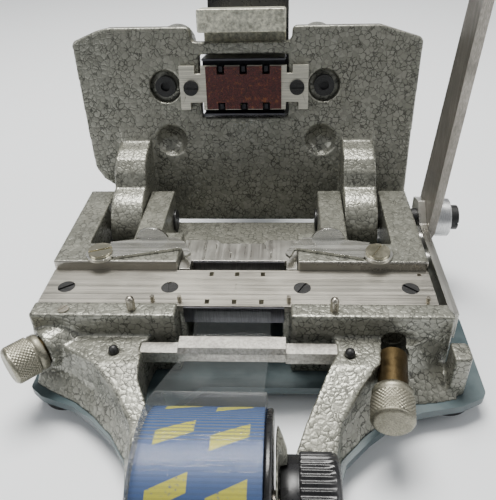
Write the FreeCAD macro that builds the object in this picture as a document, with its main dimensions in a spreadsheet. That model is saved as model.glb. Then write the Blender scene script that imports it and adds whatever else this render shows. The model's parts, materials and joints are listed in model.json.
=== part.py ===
"""Sixteen-millimetre guillotine tape splicer, drawn as a parametric document.

Working frame while drawing: the film track's top face is Z = 0, its middle die hole is X = Y = 0, +X is to the
operator's right and +Y away from the operator. The head is drawn closed, over the track, and its pieces are then
swung open about the hinge. Last, everything is shifted so that the feet stand on Z = 0 and the box is centred.
"""

import FreeCAD, Part
import os
import re
import Sketcher

from FreeCAD import Placement, Rotation, Vector

doc = FreeCAD.newDocument("tape_splicer")
sheet = doc.addObject("Spreadsheet::Sheet", "Dims")

# ---------------------------------------------------------------- driving dimensions, in millimetres and degrees
DIMS = {
    # film and track
    "pitch": 7.62, "row_half": 6.16, "hole_long": 1.27, "hole_wide": 1.83,
    "track_half": 8, "track_left": -55.5, "track_right": 56.3, "track_thick": 2,
    # main casting
    "casting_left": -55.5, "casting_right": 56.3, "casting_front": -13.6, "casting_rear": 49.8,
    "casting_floor": -20, "rail_top": 1.3, "rail_right": 59.3, "block_top": 3.2, "facet_top": -6,
    "notch_left": -15.5, "notch_right": 15.8, "shelf_half": 18, "shelf_rear": 23.7,
    "boss_in": 25.4, "boss_out": 33.7, "slot_out": 46.7, "slot_front": 17.5, "recess_floor": -10,
    "slope_start": -24, "arm_tip": -52, "chip_half": 13.5, "chip_top": -4, "arm_root": -13, "flank_waist": -14,
    "lug_in": 58.4, "lug_out": 63.2, "lug_front": -21.6, "lug_rear": -15, "lug_top": -6,
    # base plate and feet
    "plate_thick": 2.5, "foot_radius": 7.5, "foot_height": 5, "stand_height": 27.5,
    "plate_left": -57.6, "plate_right": 69.3, "plate_rear": 53,
    # screws and pins
    "track_screw_head": 2.5, "screw_head_deep": 1, "screw_shank": 1.5, "slot_wide": 0.7,
    "register_pin": 0.6, "register_tall": 2, "guide_pin": 1.15, "guide_tall": 5.7,
    "hinge_pin": 3, "hinge_head": 3.85, "hinge_head_long": 0.8, "run_gap": 0.05,
    # rear tape plate, blades and bar
    "tape_plate_front": 12.8, "blade_thick": 0.6, "blade_half": 14, "fixed_low": -5.5, "fixed_top": -0.2,
    "bar_top": -5, "bar_rear": -14.7, "bar_front": -20.2, "bar_half": 14.5, "bar_low": -9,
    "bar_end_top": -6.5, "bar_end_low": -10.4, "bar_end_rear": -15.6, "bar_end_front": -19.4,
    "bar_end_left": -24.9, "bar_end_right": 28.2,
    # side levers
    "lever_under": 3.3, "lever_thick": 0.9, "lever_pivot_x": 41.6, "lever_pivot_y": 11.3,
    "lever_screw": 3.6, "lever_screw_top": 5.1, "tab_x": 27.4, "tab_z": 2.5, "tab_radius": 5.4, "tab_y": 18.6,
    # head
    "hinge_y": 44.6, "hinge_z": -5.9, "open_angle": 100, "head_under": 6.2, "head_thick": 5,
    "head_front": -19.2, "head_rear": 49.5, "head_left": -57.8, "head_right": 59.4,
    "window_half": 15.1, "window_front": -10.5, "window_rear": 10.6,
    "arm_in": 34, "arm_out": 45, "barrel": 13.2, "bolt_x": 27.3, "bolt_counterbore": 5.4,
    "bolt_head": 3.5, "dimple_x": 26.6, "dimple_y": 18.9, "dimple_radius": 6.2, "dimple_rise": 2.7,
    "tower_radius": 6.5, "tower_x": 25.5, "tower_y": -12.3, "tower_top": 30,
    # press and pressure plate
    "press_half": 14.3, "block_half": 8.75, "block_low": 8, "block_top_z": 38,
    "pressure_half": 21.8, "pressure_front": -7.2, "pressure_back": 7.4, "pressure_low": 3.8,
    "pressure_thick": 1.8, "cork_thick": 1, "cork_half": 12.7, "cork_deep": 7,
    "plate_screw_x": 18, "lip_low": -0.3, "lip_front": -24.8, "lip_rear": -17.8,
    "handle_half": 15.3, "handle_front": -44, "handle_rear": 23, "handle_thick": 9,
    # film cutter
    "bar_in": 58.5, "bar_out": 60.96, "cutter_front": -10.5, "cutter_rear": 46, "cutter_deep": 9,
    "cutter_y": 39.2, "cutter_z": -1.1, "cutter_lean": 10.2, "cutter_in": 61.02, "cutter_thick": 2.7,
    "cutter_long": 100, "cutter_root": 8, "cutter_tip": 4.4, "grip_start": 78, "grip_long": 46,
    "grip_half": 6.4, "grip_wrap": 1.5, "sleeve_radius": 6.4, "sleeve_out": 69, "bolt_out": 72,
    # plunger knobs
    "plunger_z": -8.4, "shank_radius": 3.85, "cap_radius": 5.5, "cap_long": 9.5,
    "right_x": 42.2, "right_y": -23.4, "right_turn": 8, "right_out": 7,
    "left_x": -52.4, "left_y": -16.8, "left_turn": -45, "left_out": 0.3, "left_boss": 5.6,
    # tape and spool
    "roll_y": -66, "roll_z": 2, "roll_radius": 20.5, "roll_left": -11.3, "roll_right": 10.7,
    "core_radius": 17.6, "core_bore": 16.2, "hub_bore": 2.6, "spool_pin": 2.5, "flange_radius": 17.5,
    "ear_in": 12.6, "ear_wall": 13.1, "ear_out": 15.8, "ear_radius": 15, "ear_dome": 32, "ear_dome_in": 28.27,
    "ear_cut": -64,
    "neck_in": 13.4, "knob_in": 16.9, "knob_out": 24.6, "knob_radius": 9.5, "knob_neck": 9, "bolt_deep": 3,
    "strip_thick": 0.3, "strip_left": -10.7, "strip_right": 10.3, "strip_y": -54.3, "strip_z": 19.6,
    # where the working frame's origin ends up; set from the finished box below
    "centre_x": 0, "centre_y": 0,
}
for row, (alias, value) in enumerate(DIMS.items(), start=1):
    sheet.set(f"A{row}", alias)
    sheet.set(f"B{row}", str(value))
    sheet.setAlias(f"B{row}", alias)
doc.recompute()

nodes = []


def ex(text):
    """Turn '2 * pitch' into an expression that reads the sheet."""
    return re.sub(r"[A-Za-z_]\w*", lambda word: "Dims." + word.group(0), str(text))


def size(alias):
    """The sheet's present value of one dimension."""
    return float(sheet.get(alias))


def bind(thing, **sizes):
    """Bind properties of a document object to expressions over the sheet."""
    for name, text in sizes.items():
        thing.setExpression(name, ex(text))
    return thing


def at(thing, x=0, y=0, z=0, turn=None):
    """Place a primitive, with its position bound to the sheet; turn is (axis, degrees)."""
    if turn:
        thing.Placement = Placement(Vector(), Rotation(Vector(*turn[0]), turn[1]))
    for axis, text in zip("xyz", (x, y, z)):
        thing.setExpression(f"Placement.Base.{axis}", ex(text))
    return thing


def box(x0, x1, y0, y1, z0, z1):
    """A box between two corners given as expressions."""
    thing = doc.addObject("Part::Box", "Box")
    bind(thing, Length=f"({x1}) - ({x0})", Width=f"({y1}) - ({y0})", Height=f"({z1}) - ({z0})")
    return at(thing, x0, y0, z0)


TURNS = {"X": ((0, 1, 0), 90), "Y": ((1, 0, 0), -90), "Z": None}


def rod(axis, radius, length, x, y, z):
    """A cylinder along +X, +Y or +Z from the point given."""
    thing = doc.addObject("Part::Cylinder", "Rod")
    bind(thing, Radius=radius, Height=length)
    return at(thing, x, y, z, TURNS[axis])


def dome(radius, x, y, z):
    """A ball, used for rounded heads and dimples."""
    thing = bind(doc.addObject("Part::Sphere", "Dome"), Radius=radius)
    return at(thing, x, y, z)


def fuse(*things):
    if len(things) == 1:
        return things[0]
    thing = doc.addObject("Part::MultiFuse", "Join")
    thing.Shapes = list(things)
    return thing


def cut(thing, *tools):
    result = doc.addObject("Part::Cut", "Cut")
    result.Base = thing
    result.Tool = fuse(*tools)
    return result


def common(one, other):
    result = doc.addObject("Part::Common", "Overlap")
    result.Base = one
    result.Tool = other
    return result


def group(*things):
    """Identical separate pieces that share one node."""
    thing = doc.addObject("Part::Compound", "Group")
    thing.Links = list(things)
    return thing


def poly(*points):
    """A closed outline of straight sides; every corner is held by two constraints read from the sheet."""
    def draw(sketch):
        corners = [Vector(sheet_value(x), sheet_value(y), 0) for x, y in points]
        first = sketch.GeometryCount
        for here, there in zip(corners, corners[1:] + corners[:1]):
            sketch.addGeometry(Part.LineSegment(here, there), False)
        for step in range(len(points)):
            after = first + (step + 1) % len(points)
            sketch.addConstraint(Sketcher.Constraint("Coincident", first + step, 2, after, 1))
        for step, texts in enumerate(points):
            for kind, text, value in zip(("DistanceX", "DistanceY"), texts, corners[step]):
                index = sketch.addConstraint(Sketcher.Constraint(kind, -1, 1, first + step, 1, value))
                sketch.setExpression(f"Constraints[{index}]", ex(text))
    return draw


def disc(x, y, radius):
    """A circle whose centre and radius read the sheet."""
    def draw(sketch):
        centre = Vector(sheet_value(x), sheet_value(y), 0)
        ring = sketch.addGeometry(Part.Circle(centre, Vector(0, 0, 1), sheet_value(radius)), False)
        wanted = [("DistanceX", (-1, 1, ring, 3), x, centre.x), ("DistanceY", (-1, 1, ring, 3), y, centre.y)]
        for kind, ends, text, value in wanted:
            index = sketch.addConstraint(Sketcher.Constraint(kind, *ends, value))
            sketch.setExpression(f"Constraints[{index}]", ex(text))
        index = sketch.addConstraint(Sketcher.Constraint("Radius", ring, sheet_value(radius)))
        sketch.setExpression(f"Constraints[{index}]", ex(radius))
    return draw


def rect(x0, y0, x1, y1):
    return poly((x0, y0), (x1, y0), (x1, y1), (x0, y1))


def sheet_value(text):
    """Work an expression out in numbers, for a sketch's first guess."""
    found = re.sub(r"[A-Za-z_]\w*", lambda word: f"({size(word.group(0))!r})", str(text))
    total = FreeCAD.Units.Quantity(found)
    return float(total.Value)


class Piece:
    """A PartDesign body that grows by pads and shrinks by pockets, each from a level to a level."""

    def __init__(self, label):
        self.body = doc.addObject("PartDesign::Body", "Body")
        self.body.Label = label + "_body"

    def sketch(self, plane, level, shapes):
        sketch = self.body.newObject("Sketcher::SketchObject", "Outline")
        origin = self.body.Origin.OriginFeatures
        support = next(feature for feature in origin if feature.Role == plane + "_Plane")
        sketch.AttachmentSupport = (support, "")
        sketch.MapMode = "FlatFace"
        sketch.setExpression("AttachmentOffset.Base.z", ex(level))
        for draw in shapes:
            draw(sketch)
        return sketch

    def grow(self, kind, plane, low, high, shapes):
        # An XZ sketch faces -Y, and a pocket cuts against its sketch's facing.
        faces_back = plane == "XZ"
        start_low = (kind == "Pad") != faces_back
        level = f"({low})" if start_low else f"({high})"
        if faces_back:
            level = f"-{level}"
        sketch = self.sketch(plane, level, shapes)
        before = self.volume()
        feature = self.body.newObject("PartDesign::" + kind, kind)
        feature.Profile = sketch
        bind(feature, Length=f"({high}) - ({low})")
        sketch.Visibility = False
        doc.recompute()
        change = self.volume() - before
        if (change > 0) != (kind == "Pad") or abs(change) < 1e-3:
            raise RuntimeError(f"{self.body.Label}: a {kind} on {plane} changed the volume by {change:.3f}")
        return self

    def volume(self):
        shape = self.body.Shape
        return 0.0 if shape.isNull() else shape.Volume

    def pad(self, plane, low, high, *shapes):
        return self.grow("Pad", plane, low, high, shapes)

    def pocket(self, plane, low, high, *shapes):
        return self.grow("Pocket", plane, low, high, shapes)

    def soften(self, radius, wanted):
        """Fillet the tip's edges that the test picks out."""
        tip = self.body.Tip
        names = [f"Edge{n}" for n, edge in enumerate(tip.Shape.Edges, start=1) if wanted(edge)]
        fillet = self.body.newObject("PartDesign::Fillet", "Fillet")
        fillet.Base = (tip, names)
        bind(fillet, Radius=radius)
        doc.recompute()
        return self


def upright(edge):
    """True for a straight edge along Z."""
    ends = [vertex.Point for vertex in edge.Vertexes]
    if len(ends) != 2:
        return False
    span = ends[0] - ends[1]
    return abs(span.z) > 0.5 and span.cross(Vector(0, 0, 1)).Length < 1e-6


def near(x, y, reach=0.2):
    """A test for upright edges that stand at one of the corners given."""
    def wanted(edge):
        foot = edge.Vertexes[0].Point
        return upright(edge) and abs(foot.x - x) < reach and abs(foot.y - y) < reach
    return wanted


def any_of(*tests):
    return lambda edge: any(test(edge) for test in tests)


def node(label, thing, home="base"):
    """Name a finished sub-part and remember which body's placement it takes."""
    if isinstance(thing, Piece):
        thing = thing.body
    elif thing.TypeId in ("Part::Box", "Part::Cylinder", "Part::Sphere"):
        thing = group(thing)
    thing.Label = label
    nodes.append((thing, home))
    return thing


def slotted(x, y, top, head, deep, shank, long, angle, raised=0):
    """An upright screw: a round head, a driving slot at an angle and a shank below."""
    body = fuse(rod("Z", head, deep, x, y, f"{top} - {deep}"), rod("Z", shank, long, x, y, f"{top} - {deep} - {long}"))
    groove = doc.addObject("Part::Box", "Groove")
    bind(groove, Length=f"2.2 * {head}", Width="slot_wide", Height=f"0.5 * {deep} + 0.2")
    arm = Vector(-1.1 * sheet_value(head), -0.5 * size("slot_wide"), sheet_value(f"{top} - 0.5 * {deep}"))
    turn = Rotation(Vector(0, 0, 1), angle)
    spot = Vector(sheet_value(x), sheet_value(y), 0)
    groove.Placement = Placement(spot + turn.multVec(arm), turn)
    return cut(body, groove)


def lofted(levels):
    """A solid skinned through closed outlines, each given as (height, corner points)."""
    thing = doc.addObject("Part::Loft", "Flared")
    sections = []
    for height, points in levels:
        sketch = doc.addObject("Sketcher::SketchObject", "Section")
        sketch.setExpression("Placement.Base.z", ex(height))
        poly(*points)(sketch)
        sections.append(sketch)
    thing.Sections = sections
    thing.Solid = True
    thing.Ruled = True
    return thing


def between(low, high, share):
    """The outline that lies part of the way from one list of corners to another."""
    pairs = [[(sheet_value(a), sheet_value(b)) for a, b in zip(one, other)] for one, other in zip(low, high)]
    return [tuple(a + share * (b - a) for a, b in pair) for pair in pairs]


# ---------------------------------------------------------------- frame: castings, base plate and feet
def base_casting():
    """Die-cast body: rear block with head slots, front rail, two forward arms with sloping flanks."""
    piece = Piece("base_casting")
    piece.pad("XY", "casting_floor", "block_top", rect("casting_left", "track_half", "casting_right", "casting_rear"))
    piece.pad("XY", "casting_floor", "-track_thick",
              rect("track_left", "-track_half", "casting_right", "track_half + 1"))
    piece.pad("XY", "casting_floor", "rail_top", rect("casting_left", "casting_front", "notch_left", "-track_half"))
    piece.pad("XY", "casting_floor", "rail_top", rect("notch_right", "casting_front", "rail_right", "-track_half"))
    # Slots for the head's two arms, the recess between the inner bosses and the shelf of the rear tape plate.
    for side in ("-", ""):
        inner, outer = f"{side}boss_out", f"{side}slot_out"
        piece.pocket("XY", "casting_floor", "block_top", rect(inner, "slot_front", outer, "casting_rear"))
    piece.pocket("XY", "recess_floor", "block_top", rect("-boss_in", "shelf_rear", "boss_in", "casting_rear"))
    piece.pocket("XY", "-track_thick", "block_top", rect("-shelf_half", "track_half", "shelf_half", "shelf_rear"))
    piece.pocket("XY", "-6", "-track_thick", rect("-bar_half", "track_half + 0.4", "bar_half", "tape_plate_front"))
    # The chamber under the die, where punched chips fall, is open at the front.
    piece.pocket("XY", "casting_floor", "chip_top", rect("-chip_half", "casting_front - 1", "chip_half", 7))
    # Bores for the hinge pins and for every screw and pin that stands in the casting.
    piece.pocket("YZ", "-casting_right", "casting_right", disc("hinge_y", "hinge_z", "hinge_pin"))
    piece.pocket("XY", "-screw_head_deep - 5", "-track_thick", *[disc(x, 0, "screw_shank") for x in TRACK_SCREWS])
    piece.pocket("XY", "-2", "block_top",
                 *[disc(f"{side}lever_pivot_x", "lever_pivot_y", "screw_shank") for side in ("-", "")])
    piece.pocket("XY", "rail_top - 4", "rail_top", disc(*RAIL_SCREW, 1))
    # The right rail stops short beside the fixed cutter bar.
    piece.pocket("XY", "-cutter_deep", "rail_top",
                 rect("bar_in - 0.05", "cutter_front - 0.05", "rail_right + 1", "1 - track_half"))
    return piece


# Inner outline of each front arm, then its outer outline at the floor and at the top facet.
LEFT_INNER = [(-16.5, "arm_tip"), (-18.6, -38), (-23.6, -27.5), (-24.2, -20.5), (-23, "arm_root")]
LEFT_FLOOR = [("casting_left + 0.3", "arm_root"), (-56.5, -19.1), (-51.6, -22), (-43.3, -25.9), (-37.4, -30.2),
              (-31, -36.2), (-25.6, -43.5), (-23.3, "arm_tip")]
LEFT_TOP = [("casting_left + 0.3", "arm_root"), (-53.5, -14.8), (-46.5, -17.6), (-42, -20.1), (-36.5, -23.5),
            (-29, -30.6), (-23.5, -38), (-20.8, "arm_tip")]
RIGHT_INNER = [(16.5, "arm_tip"), (16.8, -45), (19.4, -38), (24.6, -26.5), (27.8, -20), (27.4, "arm_root")]
RIGHT_FLOOR = [("rail_right - 0.3", "arm_root"), (61.3, -22.9), (55.3, -24.3), (49.2, -25), (42, -29),
               (35, -35), (28.2, -42.5), (25.8, "arm_tip")]
RIGHT_TOP = [("rail_right - 0.3", "arm_root"), (54.2, -13.4), (46, -17.7), (41.2, -21.3), (37.4, -24.2),
             (33.2, -29.3), (28.2, -37), (24.6, "arm_tip")]
TRACK_SCREWS = [-49.4, -19.1, 19.1, 49.8]
RAIL_SCREW = (-46.4, -11.2)
BAR_PINS = [(-31.6, -19.6), (31.3, -19.9)]


def front_arms():
    """The two forward arms, whose outer flanks flare towards the floor and whose tops fall to the tips."""
    arms = []
    for inner, floor, top in ((LEFT_INNER, LEFT_FLOOR, LEFT_TOP), (RIGHT_INNER, RIGHT_FLOOR, RIGHT_TOP)):
        waist = between(floor, top, 0.72)
        arms.append(lofted([("casting_floor", floor + inner), ("flank_waist", waist + inner),
                            ("facet_top", top + inner)]))
    slope = Piece("tip_slope")
    slope.pad("YZ", "casting_left - 5", "rail_right + 5",
              poly(("slope_start", "facet_top"), ("slope_start", "facet_top + 2"), ("arm_tip - 2", "facet_top + 2"),
                   ("arm_tip - 2", -16)))
    pins = [rod("Z", 1.35, 6, x, y, "facet_top - 2.4") for x, y in BAR_PINS]
    socket = box("bar_end_left", "bar_end_right", "bar_end_front", "bar_end_rear", "bar_end_low", "facet_top + 1")
    return cut(fuse(*arms), slope.body, socket, *pins)


def side_lug():
    """The cast lug at the right arm's outer corner, rounded on top."""
    lug = Piece("side_lug")
    lug.pad("XY", "casting_floor", "lug_top", rect("lug_in", "lug_front", "lug_out", "lug_rear"))
    edges = {("lug_out", "lug_front"), ("lug_out", "lug_rear")}
    lug.soften(1.5, any_of(*[near(size(x), size(y)) for x, y in edges]))
    return lug.body


def plunger_place(side):
    """Placement that turns a local +Z axis to point out along a plunger's axis, level with the ground."""
    spot = Vector(size(side + "_x"), size(side + "_y"), size("plunger_z"))
    level = Rotation(Vector(1, 0, 0), 90)
    heading = -size("right_turn") if side == "right" else size("left_turn")
    return Placement(spot, Rotation(Vector(0, 0, 1), heading).multiply(level))


def along(side, radius, low, high):
    """A cylinder on a plunger's axis, between two distances from its wall."""
    thing = bind(doc.addObject("Part::Cylinder", "Plunger"), Radius=radius, Height=f"({high}) - ({low})")
    place = plunger_place(side)
    thing.Placement = place.multiply(Placement(Vector(0, 0, sheet_value(low)), Rotation()))
    return thing


def make_frame():
    boss = along("left", "left_boss", -9, 0)
    bores = [along(side, "shank_radius + run_gap", -14, 12) for side in ("left", "right")]
    relief = [along("left", "cap_radius + 0.3", 0, 12), along("right", "cap_radius + 0.3", "right_out - 0.3", 24)]
    node("base_casting", cut(fuse(base_casting().body, front_arms(), side_lug(), boss), *bores, *relief))

    plate = Piece("base_plate")
    plate.pad("XY", "casting_floor - plate_thick", "casting_floor",
              poly(("plate_left", "plate_rear"), ("plate_left", -20.4), (-53.5, -23.6), (-43.6, -27), (-37.2, -31.4),
                   (-30.2, -37.6), (-25.2, -44.4), (-23.6, "arm_tip"), (-13, "arm_tip"), (-16, -38), (-16, -26),
                   (-9, -19.5), (24, -19.5), (27, -22), (22, -31), (14, "arm_tip"), (26.4, "arm_tip"), (29.4, -43),
                   (36, -36.2), (43, -30.6), (51, -27.2), (62, -25), ("plate_right", -21.5), ("plate_right", 8),
                   (62.3, "plate_rear")))
    plate.soften(1.6, near(size("plate_left"), -20.4))
    plate.soften(3.5, any_of(near(size("plate_left"), size("plate_rear")), near(62.3, size("plate_rear")),
                             near(size("plate_right"), -21.5), near(-9, -19.5)))
    node("base_plate", plate)

    feet = [(-49.5, -15), (60, -15), (-49.5, 43), (53, 43)]
    node("rubber_feet", group(*[rod("Z", "foot_radius", "foot_height", x, y, "-stand_height") for x, y in feet]))


# ---------------------------------------------------------------- film track, rails and their pins
def make_track():
    holes = [rect(f"{n} * pitch - hole_long / 2", f"{side} * row_half - hole_wide / 2",
                  f"{n} * pitch + hole_long / 2", f"{side} * row_half + hole_wide / 2")
             for n in (-1, 0, 1) for side in (-1, 1)]
    track = Piece("film_track")
    track.pad("XY", "-track_thick", 0, rect("track_left", "-track_half", "track_right", "track_half"))
    track.pocket("XY", "-track_thick", 0, *holes)
    track.pocket("XY", "-screw_head_deep", 0, *[disc(x, 0, "track_screw_head") for x in TRACK_SCREWS])
    track.pocket("XY", "-track_thick", "-screw_head_deep", *[disc(x, 0, "screw_shank") for x in TRACK_SCREWS])
    pins = [("-3", -1), ("-2", -1), ("2", -1), ("7", -1), ("7", 1)]
    track.pocket("XY", "-track_thick", 0,
                 *[disc(f"{n} * pitch", f"{side} * row_half", "register_pin") for n, side in pins])
    # A short centre mark, cut into the plate between the die holes.
    track.pocket("XY", -0.25, 0, rect(-0.1, -2, 0.1, 1.6))
    node("film_track", track)
    turns = [35, 100, 60, 140]
    node("track_screws", group(*[slotted(x, 0, 0, "track_screw_head", "screw_head_deep", "screw_shank", 5, turn)
                                 for x, turn in zip(TRACK_SCREWS, turns)]))
    front = [rod("Z", "register_pin", "track_thick + register_tall", f"{n} * pitch", "-row_half", "-track_thick")
             for n in (-3, -2, 2, 7)]
    node("register_pins", group(*front))
    node("rear_register_pin", rod("Z", "register_pin", "track_thick - 0.8", "7 * pitch", "row_half", "-track_thick"))
    guides = [fuse(rod("Z", "guide_pin", "guide_tall - guide_pin - rail_top", x, -10.85, "rail_top"),
                   dome("guide_pin", x, -10.85, "guide_tall - guide_pin")) for x in (-27.6, 27.4)]
    node("guide_pins", group(*guides))
    node("rail_screw", slotted(*RAIL_SCREW, "rail_top + 0.35", 1.5, 0.35, 1, 4, 50))


def make_tape_plate():
    plate = Piece("rear_tape_plate")
    plate.pad("XY", "-track_thick", 0,
              poly((-14.6, "tape_plate_front"), (14.6, "tape_plate_front"), (14.6, 8.7), ("shelf_half - 0.2", 8.7),
                   ("shelf_half - 0.2", "shelf_rear"), (8.7, "shelf_rear"), (7, 21.8), (-6, 21.8),
                   (-7.7, "shelf_rear"), ("0.2 - shelf_half", "shelf_rear"), ("0.2 - shelf_half", 8.7),
                   (-14.6, 8.7)))
    marks = [(-7.5, 19, 21.5), (7.9, 19, 21.5), (-2.7, 14.4, 17), (9.8, 14.2, 17.1)]
    plate.pocket("XY", -0.2, 0, *[rect(x - 0.08, low, x + 0.08, high) for x, low, high in marks])
    node("rear_tape_plate", plate)
    fronts = {"rear": "tape_plate_front - blade_thick - 0.05", "front": "-track_half - blade_thick - 0.05"}
    for name, y in fronts.items():
        blade = box("-blade_half", "blade_half", y, f"{y} + blade_thick", "fixed_low", "fixed_top")
        node(f"{name}_fixed_blade", blade)

    middle = Piece("tape_bar")
    middle.pad("YZ", "-bar_half", "bar_half",
               poly(("bar_rear", "bar_low"), ("bar_rear", "bar_top"), ("bar_front + 1.2", "bar_top"),
                    ("bar_front", "bar_top - 1.2"), ("bar_front", "bar_low")))
    middle.pad("XY", "bar_end_low", "bar_end_top",
               rect("bar_end_left", "bar_end_front", "-bar_half + 0.1", "bar_end_rear"),
               rect("bar_half - 0.1", "bar_end_front", "bar_end_right", "bar_end_rear"))
    node("tape_bar", middle)
    node("bar_pins", group(*[fuse(rod("Z", 1.35, 3, x, y, "facet_top - 2.4"), dome(1.35, x, y, "facet_top + 0.6"))
                             for x, y in BAR_PINS]))


def make_side_levers():
    """Thin spring-steel arms that hold the tape ends down, one each side of the blades."""
    outline = [(39.9, 16.6), (26.5, 19.5), (20.6, 19.5), (17, 17), (14.2, 11.2), (15.6, 9.4), (17.4, 13.9),
               (37.2, 8.9)]
    for name, side in (("left", -1), ("right", 1)):
        arm = Piece(f"{name}_side_lever")
        points = [(side * x, y) for x, y in outline]
        arm.pad("XY", "lever_under", "lever_under + lever_thick", poly(*points))
        arm.soften(1.2, any_of(*[near(*points[n]) for n in (1, 2, 6)]))
        eye = rod("Z", 4.4, "lever_thick", f"{side} * lever_pivot_x", "lever_pivot_y", "lever_under")
        hole = rod("Z", "screw_shank + run_gap", 9, f"{side} * lever_pivot_x", "lever_pivot_y", "lever_under - 4")
        # A round finger tab stands up from the rear edge; it fits a hollow in the closed head.
        tab = rod("Y", "tab_radius", "lever_thick", f"{side} * tab_x", "tab_y", "tab_z")
        above = box(f"{side} * tab_x - 9", f"{side} * tab_x + 9", "tab_y - 1", "tab_y + 2", "lever_under", 12)
        node(f"{name}_side_lever", cut(fuse(arm.body, eye, common(tab, above)), hole))
    head_deep = "lever_screw_top - lever_under - lever_thick - 0.1"
    screws = [slotted(f"{side} * lever_pivot_x", "lever_pivot_y", "lever_screw_top", "lever_screw", f"({head_deep})",
                      "screw_shank", 5, turn) for side, turn in ((-1, 20), (1, 60))]
    node("side_lever_screws", group(*screws))


# ---------------------------------------------------------------- head: casting, press and pressure plate
def make_head():
    head = Piece("head_casting")
    head_top = "head_under + head_thick"
    head.pad("XY", "head_under", head_top,
             poly(("head_left", -14.9), (-49, -18.4), (-45, "head_front"), (-17.6, "head_front"), (-17.6, -14.4),
                  (16.3, -14.4), (16.3, "head_front"), (45.4, "head_front"), ("head_right", -15), (58.3, 18),
                  (57.8, "head_rear"), ("-arm_out", "head_rear"), ("-arm_out", 38.6), (-53.2, 32.9), (-55.7, 28.5),
                  (-56.5, 15)))
    corners = [("head_left", -14.9), ("head_right", -15), (-17.6, "head_front"), (16.3, "head_front"), (-17.6, -14.4),
               (16.3, -14.4), (57.8, "head_rear"), ("-arm_out", "head_rear")]
    head.soften(1.8, any_of(*[near(sheet_value(x), sheet_value(y)) for x, y in corners]))
    # Each hinge arm drops steeply from the plate, behind its side lever, and ends in a large barrel.
    profile = poly((14, "head_under + 1"), (14.2, "head_under - 0.1"), (18.7, 4.8), (20.3, 0), (22.5, -4), (26.5, -7),
                   ("hinge_y - 0.985 * barrel", "hinge_z - 0.174 * barrel"), ("hinge_y", "hinge_z"),
                   ("hinge_y + 8", "hinge_z + 6"), ("hinge_y + 4.9", "head_under + 1"))
    for low, high in (("-arm_out", "-arm_in"), ("arm_in", "arm_out")):
        head.pad("YZ", low, high, profile)
        head.pad("YZ", low, high, disc("hinge_y", "hinge_z", "barrel"))
    head.pocket("XY", "head_under", head_top, rect("-window_half", "window_front", "window_half", "window_rear"))
    for side in ("-", ""):
        head.pocket("XY", "head_under", "head_under + 3", disc(f"{side}bolt_x", 0, "bolt_counterbore"))
        head.pocket("XY", "head_under", head_top, disc(f"{side}plate_screw_x", 0, 1.5))
        head.pocket("XY", "head_under + 3", head_top, disc(f"{side}bolt_x", 0, 2))
    head.pocket("YZ", "-arm_out", "arm_out", disc("hinge_y", "hinge_z", "hinge_pin + run_gap"))
    dimples = [dome("dimple_radius", f"{side}dimple_x", "dimple_y", "head_under - dimple_rise") for side in ("-", "")]
    node("head_casting", cut(head.body, *dimples), "head")

    towers = []
    for side in ("-", ""):
        tall = f"tower_top - ({head_top})"
        post = rod("Z", "tower_radius", tall, f"{side}tower_x", "tower_y", head_top)
        near_x, far_x = ("-33", "-20") if side else ("20", "33")
        towers.append(cut(fuse(post, box(near_x, far_x, "tower_y", 8, head_top, "tower_top")),
                          rod("Z", 2, tall, f"{side}bolt_x", 0, head_top)))
    node("guide_towers", group(*towers), "head")
    bolts = [cut(fuse(rod("Z", "bolt_head", 2.6, f"{side}bolt_x", 0, "head_under + 0.4"),
                      rod("Z", 2, 24, f"{side}bolt_x", 0, "head_under + 3")),
                 rod("Z", 1.6, 1.6, f"{side}bolt_x", 0, "head_under + 0.3")) for side in ("-", "")]
    node("guide_bolts", group(*bolts), "head")


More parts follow.
